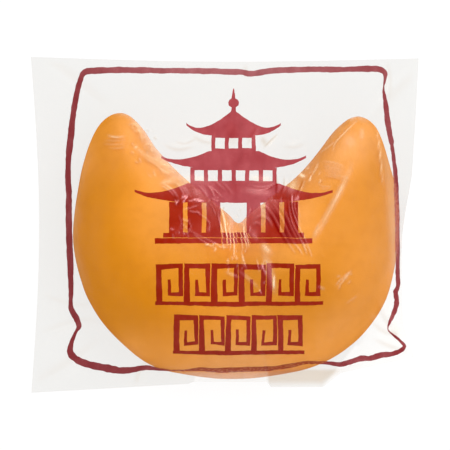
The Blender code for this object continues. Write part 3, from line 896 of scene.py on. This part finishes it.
printSizes = dict(
    depth=0.06,                 # below the film's own surface: it is printed on the inside
    cell=0.3,                   # pitch of the cuts that let the ink follow the film
    # cracks in the ink of the base below the notch: place and width
    cracks=[(-0.6, 0.16), (0.42, 0.22), (1.1, 0.16), (1.78, 0.18), (2.4, 0.08), (3.2, 0.14),
            (3.95, 0.22), (4.45, 0.14), (4.8, 0.10)],
    axis=1.7,                   # middle line of the pagoda
    # its three roofs: half width, how much of that is level on top, height of eaves and of top
    roofs=[(9.4, 0.06, 17.7, 22.6), (14.4, 0.34, 11.2, 14.7), (19.6, 0.46, 4.4, 8.2)],
    eavesCurl=2.1,
    tipDepth=0.5,
    # its open storeys: half width, foot, head, columns and their width, thinness of the ink
    storeys=[(4.4, 14.7, 17.9, 4, 0.8, 0.0), (8.6, 8.2, 11.4, 7, 0.85, 0.0)],
    beam=0.55,
    spire=[(22.0, 1.5), (22.9, 0.9), (23.5, 0.8), (23.9, 1.9), (24.5, 2.2), (25.0, 1.7),
           (25.3, 0.8), (26.1, 0.6), (27.2, 0.2)],
    doors=[(2.6, 5.4), (6.3, 9.1), (10.0, 12.8)],               # from the axis: near and far edge
    doorHeight=(-1.6, 4.6),
    steps=[(13.9, -2.5, -1.5), (15.6, -3.65, -2.6)],            # half width, foot and head
    # bands of key fret: left, right, foot, head, hooks and width of the line
    frets=[(-13.6, 19.2, -15.6, -8.2, 6, 0.96), (-10.2, 15.6, -25.4, -18.4, 5, 0.92)],
    fretInk=0.5,
    wobble=((2.6, 0.10), (0.8, 0.07)),
    # painted sheen, where the ink looks pinker through the film: x, y, reach across, reach up, how much
    sheenPatches=[(-9.5, 7.8, 3.2, 2.0, 0.05), (12.5, 7.6, 4.0, 2.2, 0.04), (18.6, 7.2, 4.0, 1.8, 0.08),
           (-16.0, 7.4, 4.0, 1.8, 0.05), (-11.4, 16.4, 3.6, 1.8, 0.10), (15.6, 16.4, 2.2, 1.6, 0.09),
           (2.0, 31.0, 28.0, 2.5, 0.27), (33.0, 18.5, 3.0, 6.0, 0.10), (-20.0, -28.0, 8.0, 2.5, 0.04),
           (26.0, -27.0, 5.0, 2.0, 0.04), (7.6, 2.0, 3.2, 2.6, 0.03),
           (6.4, -0.8, 1.8, 3.0, 0.04), (-5.4, -0.6, 2.6, 2.8, 0.02),
           (1.0, -2.8, 5.0, 1.5, 0.07), (14.0, -2.8, 4.0, 1.5, 0.05), (6.0, -21.5, 15.0, 5.0, 0.045),
           (5.0, -11.5, 3.5, 3.0, 0.03), (-1.0, 7.8, 4.0, 2.4, 0.04), (4.5, 18.5, 2.5, 3.0, 0.05)],
    line=[                      # the frame line: x, y and width, clockwise from the top left
        (-28.1, 30.5, 1.25), (-25.0, 30.9, 1.35), (-20.0, 30.95, 1.28), (-13.0, 30.9, 1.08),
        (-5.0, 30.8, 1.18), (2.6, 30.6, 1.15), (5.2, 30.2, 1.22), (9.0, 30.8, 1.18),
        (15.0, 31.1, 1.15), (22.0, 31.1, 1.15), (28.6, 31.25, 1.25), (31.1, 31.1, 1.2),
        (32.0, 30.4, 0.9), (31.9, 28.8, 0.45), (31.7, 27.4, 0.35), (31.9, 25.6, 0.75),
        (32.3, 22.6, 1.1), (32.7, 19.6, 1.1), (33.1, 17.2, 1.1), (33.4, 15.4, 0.8),
        (33.9, 11.4, 0.82), (34.2, 6.0, 1.0), (34.45, -1.0, 1.0), (34.5, -8.0, 0.95),
        (34.6, -11.4, 0.92), (34.5, -12.6, 0.95), (34.1, -13.4, 0.98), (34.3, -14.9, 0.98),
        (34.2, -16.2, 0.98), (33.6, -18.0, 0.88), (32.9, -19.5, 0.62), (32.6, -20.4, 0.24),
        (32.8, -21.2, 0.24), (34.1, -22.4, 0.46), (35.3, -23.4, 0.62), (35.9, -24.2, 0.72),
        (35.1, -25.1, 0.88),
        (33.2, -25.8, 1.0), (31.2, -26.0, 1.22), (29.2, -26.6, 1.12), (27.2, -26.6, 1.22),
        (25.0, -27.3, 1.1), (23.0, -27.8, 1.0), (20.0, -27.5, 0.65), (16.6, -27.4, 0.7),
        (13.0, -28.0, 0.95), (10.0, -28.5, 0.85), (7.0, -28.7, 0.95), (1.4, -28.9, 1.02),
        (-2.0, -29.0, 0.95), (-5.0, -28.8, 0.8), (-9.0, -29.0, 0.3), (-12.5, -28.9, 0.5),
        (-15.8, -28.5, 1.1), (-18.8, -29.0, 1.25), (-21.4, -29.1, 1.4), (-24.2, -28.5, 1.5),
        (-27.0, -27.95, 1.42), (-29.4, -27.0, 1.38), (-30.9, -25.6, 1.36), (-30.7, -23.6, 0.9),
        (-29.8, -21.4, 0.65), (-29.2, -20.2, 1.05), (-29.7, -18.6, 1.3), (-30.7, -16.8, 1.15),
        (-30.8, -14.8, 0.85), (-30.7, -12.4, 1.15), (-30.9, -6.0, 1.3), (-31.1, 0.0, 1.3),
        (-31.15, 6.0, 1.25), (-31.3, 9.6, 1.2), (-31.2, 13.6, 1.2), (-30.75, 18.0, 1.25),
        (-30.2, 22.6, 1.2), (-29.55, 26.4, 1.05), (-29.0, 28.6, 1.05),
    ],
)


def ribbon(bm, stations, ink):
    # a strip through pairs of points
    last = len(stations) - 1
    depth = bm.verts.layers.float["ink"]
    for v in bmesh.ops.create_grid(bm, x_segments=last, y_segments=1, size=1.0)["verts"]:
        i, j = round((v.co.x + 1) / 2 * last), round((v.co.y + 1) / 2)
        v.co = (*stations[i][j], 0.0)
        v[depth] = ink


def block(bm, left, right, low, high, ink=0.0):
    ribbon(bm, [((left, low), (left, high)), ((right, low), (right, high))], ink)


def stroke(bm, path, ink=0.0, closed=False):
    # a brushed line through points that carry their own width
    stations = []
    for k, (x, y, width) in enumerate(path):
        before = path[k - 1] if k or closed else path[k]
        after = path[(k + 1) % len(path)] if k + 1 < len(path) or closed else path[k]
        first = Vector((x - before[0], y - before[1], 0)).normalized()
        second = Vector((after[0] - x, after[1] - y, 0)).normalized()
        along = (first + second).normalized()
        bend = max(0.6, along.dot(second if second.length else first))
        side = Vector((-along.y, along.x, 0)) * (width / 2 / bend)
        stations.append(((x - side.x, y - side.y), (x + side.x, y + side.y)))
    if closed:
        stations.append(stations[0])
    ribbon(bm, stations, ink)


def roof(bm, half, flat, eaves, top):
    # a swept roof: its eaves curl up to blunt tips, and its slopes are hollow
    s = printSizes
    stations = []
    for k in range(61):
        across = -1 + k / 30
        reach = abs(across)
        climb = max(0.0, (reach - flat) / (1 - flat))
        under = eaves + s["eavesCurl"] * reach ** 4
        above = under + s["tipDepth"] + (top - eaves - s["tipDepth"]) * (1 - climb) ** 1.6
        x = s["axis"] + across * half
        stations.append(((x, under), (x, above)))
    ribbon(bm, stations, 0.0)


def colonnade(bm, half, low, high, columns, width, ink=0.0):
    # columns between two beams
    axis, beam = printSizes["axis"], printSizes["beam"]
    block(bm, axis - half, axis + half, low, low + beam, ink)
    block(bm, axis - half, axis + half, high - beam, high, ink)
    for k in range(columns):
        x = axis - half + k * (2 * half - width) / (columns - 1)
        block(bm, x, x + width, low + beam, high - beam, ink)


def crackedStep(bm, half, low, high):
    # a step of the base, its ink cracked where the film gathers
    axis = printSizes["axis"]
    start = (axis - half, axis - half)
    for place, width in printSizes["cracks"]:
        lean = 0.05 * (place + 1.2)
        stop = (place - width / 2 + lean, place - width / 2 - lean)
        ribbon(bm, [((start[0], low), (start[1], high)), ((stop[0], low), (stop[1], high))], 0.0)
        start = (stop[0] + width, stop[1] + width)
    ribbon(bm, [((start[0], low), (start[1], high)), ((axis + half, low), (axis + half, high))], 0.0)


def pagoda(bm):
    s = printSizes
    for tier in s["roofs"]:
        roof(bm, *tier)
    for storey in s["storeys"]:
        colonnade(bm, *storey)
    stroke(bm, [(s["axis"], y, width) for y, width in s["spire"]])
    for left, right in s["doors"]:                              # leaves either side of the doorway
        for side in (-1, 1):
            ends = sorted((s["axis"] + side * left, s["axis"] + side * right))
            block(bm, *ends, *s["doorHeight"])
    for half, low, high in s["steps"]:
        crackedStep(bm, half, low, high)


def fretBand(bm, left, right, low, high, units, width):
    # a running key fret: hooks standing on one base line
    pitch = (right - left) / units
    tall = high - low
    dice = random.Random(units)
    stroke(bm, [(left - 0.2, low + 0.1, width * 0.7), (left + 0.4 * (right - left), low - 0.05, width),
                (right + 0.3, low + 0.12, width * 0.8)], printSizes["fretInk"])
    for k in range(units):
        x = left + (k + 0.04) * pitch
        path = [(0.06, 0.0), (0.06, 1.0), (0.84, 1.0), (0.84, 0.27), (0.42, 0.27), (0.42, 0.66)]
        points = []
        for n, (a, b) in enumerate(path):
            points.append((x + pitch * a + dice.uniform(-0.12, 0.12),
                           low + tall * b + dice.uniform(-0.14, 0.14),
                           width * (1.24 - 0.13 * n) * dice.uniform(0.85, 1.15)))
        stroke(bm, points, printSizes["fretInk"])


def drawnPrint():
    # the whole print laid out flat, cut fine enough to follow the film
    s = printSizes
    bm = bmesh.new()
    for name in ("ink", "over", "veil"):
        bm.verts.layers.float.new(name)
    dice = random.Random(3)
    line = [(x, y, width * dice.uniform(0.90, 1.08)) for x, y, width in closedCurve(s["line"], 4)]
    stroke(bm, line, ink=1.0, closed=True)
    pagoda(bm)
    for band in s["frets"]:
        fretBand(bm, *band)
    for k in (0, 1):
        places = [v.co[k] for v in bm.verts]
        for place in np.arange(min(places) + s["cell"] / 2, max(places), s["cell"]):
            point, normal = Vector(), Vector()
            point[k], normal[k] = place, 1.0
            bmesh.ops.bisect_plane(bm, geom=bm.verts[:] + bm.edges[:] + bm.faces[:],
                                   plane_co=point, plane_no=normal)
    bmesh.ops.triangulate(bm, faces=bm.faces[:])
    for v in bm.verts:
        shift = Vector()
        for size, amount in s["wobble"]:
            shift += noise.noise_vector(Vector((v.co.x, v.co.y, 4.0)) / size) * amount
        v.co.x += shift.x
        v.co.y += shift.y
    return bm


def laidPrint(bm, filmTree, cookieTree, material):
    # the flat print settled on the film's inner side, marked where the cookie is behind it
    over, veil = bm.verts.layers.float["over"], bm.verts.layers.float["veil"]
    down = Vector((0, 0, -1))
    for v in bm.verts:
        hit, normal = filmTree.ray_cast(Vector((v.co.x, v.co.y, 60.0)), down)[:2]
        behind = cookieTree.ray_cast(Vector((v.co.x * mm, v.co.y * mm, 0.1)), down)[0]
        v[over] = 1.0 if behind else 0.0
        # painted sheen on the print
        v[veil] = patchMark(printSizes["sheenPatches"], v.co.x, v.co.y)
        v.co.z = hit.z - printSizes["depth"] / max(0.3, abs(normal.z)) if hit else 15.0
    for f in bm.faces:
        f.normal_update()
        if f.normal.z < 0:
            f.normal_flip()
    ink = finished(bm, "print", material)
    ink.visible_shadow = False          # it is far too thin to shade the cookie
    ink.visible_diffuse = False
    return ink


printLook = dict(
    light=((0.32, 0.044, 0.053, 1), (0.37, 0.066, 0.077, 1)),   # over bare film, from and to
    deep=((0.275, 0.011, 0.001, 1), (0.325, 0.021, 0.006, 1)),  # over the cookie
    frameLight=(0.205, 0.028, 0.033, 1),
    frameDeep=(0.280, 0.048, 0.013, 1),
    fretDeep=(0.262, 0.015, 0.003, 1),
    bare=(0.62, 0.26, 0.09, 1),             # the cookie through ink rubbed thin
    # painted sheen colours, on the print and on the frame line
    sheenPink=(0.85, 0.25, 0.27, 1), frameSheenPink=(0.62, 0.30, 0.32, 1),
    paintedShade=(0.10, 0.006, 0.006, 1),
    blotchGrain=260.0, wearGrain=2900.0, facetGrain=620.0,
    facetTurn=0.6, facetStretch=0.45,
    roughness=0.5,
)


def printMaterial():
    look = printLook
    mat, nodes, links, shader = shaderOf("redInk")
    place = nodes.new("ShaderNodeTexCoord").outputs["Object"]
    over = markOf(nodes, "over")
    line = markOf(nodes, "ink")                                 # 0.5 in the frets, 1 in the frame
    inFrets = rangeNode(nodes, links, line, 0.0, 0.5, 0.0, 1.0)
    inFrame = rangeNode(nodes, links, line, 0.5, 1.0, 0.0, 1.0)
    blotch = noiseNode(nodes, links, place, look["blotchGrain"], 3.0, 0.6)
    spread = rangeNode(nodes, links, blotch, 0.3, 0.75, 0.0, 1.0)
    light = mixNode(nodes, links, spread, *look["light"])
    light = mixNode(nodes, links, line, light, look["frameLight"])
    deep = mixNode(nodes, links, spread, *look["deep"])
    deep = mixNode(nodes, links, inFrets, deep, look["fretDeep"])
    deep = mixNode(nodes, links, inFrame, deep, look["frameDeep"])
    colour = mixNode(nodes, links, over, light, deep)
    # the frame is rubbed thin where it crosses the cookie
    wear = noiseNode(nodes, links, place, look["wearGrain"], 2.0, 0.5)
    worn = rangeNode(nodes, links, wear, 0.50, 0.62, 0.0, 0.45)
    worn = mathNode(nodes, links, "MULTIPLY", worn, over)
    worn = mathNode(nodes, links, "MULTIPLY", worn, inFrame)
    colour = mixNode(nodes, links, worn, colour, look["bare"])
    # painted highlight and painted shade: the film's folds pass over it in soft pale and dark facets
    slant = nodes.new("ShaderNodeMapping")
    slant.inputs["Rotation"].default_value = (0, 0, look["facetTurn"])
    slant.inputs["Scale"].default_value = (1.0, look["facetStretch"], 1.0)
    links.new(place, slant.inputs["Vector"])
    facet = noiseNode(nodes, links, slant.outputs["Vector"], look["facetGrain"], 2.0, 0.5)
    soft = rangeNode(nodes, links, over, 0.0, 1.0, 0.10, 0.035)
    pinkSheen = mathNode(nodes, links, "MULTIPLY", soft, rangeNode(nodes, links, facet, 0.5, 0.8, 0.0, 1.0))
    pinkSheen = mathNode(nodes, links, "ADD", markOf(nodes, "veil"), pinkSheen)
    sheenPink = mixNode(nodes, links, line, look["sheenPink"], look["frameSheenPink"])
    colour = mixNode(nodes, links, pinkSheen, colour, sheenPink)
    # painted shade in the dark facets
    shaded = rangeNode(nodes, links, facet, 0.28, 0.45, 0.16, 0.0)
    colour = mixNode(nodes, links, shaded, colour, look["paintedShade"])
    links.new(colour, shader.inputs["Base Color"])
    shader.inputs["Roughness"].default_value = look["roughness"]
    shader.inputs["Specular IOR Level"].default_value = 0.0
    return mat


roomLook = dict(
    distance=1200.0, span=90.0, middleHeight=15.0,
    floorGlow=0.90, floorShade=0.10,
    horizon=0.95, zenith=0.12,
    # soft lights: name, place, size, power and whether they mirror in the film
    lamps=[("keyRight", (0.60, 0.30, 0.90), (0.9, 0.9), 6.0, True),
           ("topFill", (-0.1, 1.0, 0.6), (0.9, 0.5), 2.0, True),
           ("overhead", (0.0, 0.0, 1.7), (2.2, 2.2), 36.0, False)],
)


def softbox(name, place, size, power, mirrored):
    lamp = bpy.data.lights.new(name, "AREA")
    lamp.shape = "RECTANGLE"
    lamp.size, lamp.size_y = size
    lamp.energy = power
    light = bpy.data.objects.new(name, lamp)
    light.location = place
    light.rotation_euler = Vector(place).to_track_quat("Z", "Y").to_euler()
    light.visible_glossy = mirrored
    bpy.context.scene.collection.objects.link(light)


def makeRoom():
    s = roomLook
    bpy.ops.mesh.primitive_plane_add(size=60)
    floor = bpy.context.object
    floor.name = "floor"
    mat, nodes, links, shader = shaderOf("paleFloor")
    shade = s["floorShade"]
    shader.inputs["Base Color"].default_value = (shade, shade, shade, 1)
    shader.inputs["Roughness"].default_value = 1.0
    shader.inputs["Specular IOR Level"].default_value = 0.0
    shader.inputs["Emission Color"].default_value = (1, 1, 1, 1)
    shader.inputs["Emission Strength"].default_value = s["floorGlow"]
    floor.data.materials.append(mat)

    camera = bpy.data.objects.new("camera", bpy.data.cameras.new("camera"))
    bpy.context.scene.collection.objects.link(camera)
    away = s["distance"]
    camera.location = (0, 0, (away + s["middleHeight"]) * mm)
    camera.data.lens = camera.data.sensor_width * away / s["span"]
    camera.data.clip_end = 100
    bpy.context.scene.camera = camera

    for lamp in s["lamps"]:
        softbox(*lamp)

    world = bpy.data.worlds.new("room")
    world.use_nodes = True
    nodes, links = world.node_tree.nodes, world.node_tree.links
    split = nodes.new("ShaderNodeSeparateXYZ")
    links.new(nodes.new("ShaderNodeTexCoord").outputs["Generated"], split.inputs["Vector"])
    sky = rangeNode(nodes, links, split.outputs["Z"], 0.05, 0.75, s["horizon"], s["zenith"])
    links.new(sky, nodes["Background"].inputs["Strength"])
    nodes["Background"].inputs["Color"].default_value = (1, 1, 1, 1)
    bpy.context.scene.world = world
    bpy.context.scene.view_settings.view_transform = "Standard"


cookie, middleHeight = makeCookie(cookieMaterial())
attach(cookie, "root")
print("cookie folded")

cookieTree, flatPrint = treeOf(cookie), drawnPrint()
film, filmBack, filmTree = makeFilm(cookieTree, BVHTree.FromBMesh(flatPrint), middleHeight,
                                    filmMaterial())
for panel in (film, filmBack):
    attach(panel, "root")
    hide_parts("wrapped_cookie")
print("film drawn over the cookie")

ink = laidPrint(flatPrint, filmTree, cookieTree, printMaterial())
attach(ink, "root")
print("print laid on the film")

makeRoom()
print("room ready")
